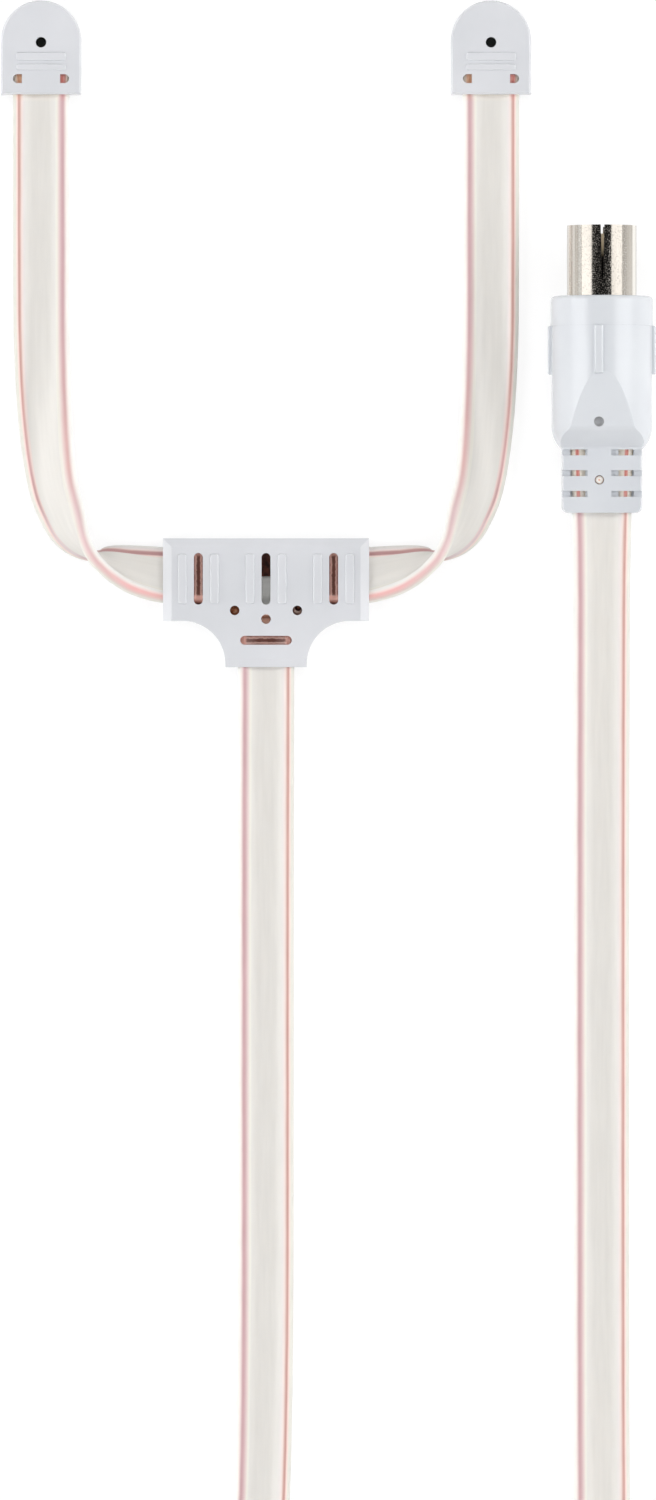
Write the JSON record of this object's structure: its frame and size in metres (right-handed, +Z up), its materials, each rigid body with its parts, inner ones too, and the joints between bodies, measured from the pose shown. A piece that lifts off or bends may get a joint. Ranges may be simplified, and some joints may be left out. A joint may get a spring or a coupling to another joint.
{
  "type": "fm indoor antenna",
  "caption": "Indoor FM antenna of flat twin-lead ribbon: a T-shaped dipole with a moulded junction block, nail-up end caps and a feeder that ends in a coaxial socket.",
  "frame": {"origin": "under the middle of the junction block, on the surface that the antenna lies on", "axes": "+X along the block's cross bar, +Y from the block towards the end caps, +Z up"},
  "size_m": [0.1237, 0.3458, 0.0163],
  "materials": {
    "white_plastic": "moulded white plastic with a soft gloss",
    "ribbon": "milky see-through insulation with a copper conductor along each edge",
    "tie": "white plastic-covered wire tie",
    "nickel": "bright nickel plate",
    "copper": "bare copper strand",
    "solder": "dull grey solder"
  },
  "bodies": {
    "root": {"junction_block": "white_plastic", "end_cap_left": "white_plastic", "end_cap_right": "white_plastic", "plug_body": "white_plastic", "plug_insulator": "white_plastic", "dipole_ribbon": "ribbon", "feeder_ribbon": "ribbon", "feeder_coil": "ribbon", "plug_lead": "ribbon", "coil_tie": "tie", "plug_sleeve": "nickel", "plug_contact": "nickel", "dipole_tail_left": "copper", "dipole_tail_right": "copper", "feeder_tail_left": "copper", "feeder_tail_right": "copper", "end_link_left": "copper", "end_link_right": "copper", "plug_sleeve_tail": "copper", "plug_core_tail": "copper", "junction_solder_left": "solder", "junction_solder_right": "solder", "plug_sleeve_solder": "solder", "plug_core_solder": "solder"}
  },
  "joints": []
}
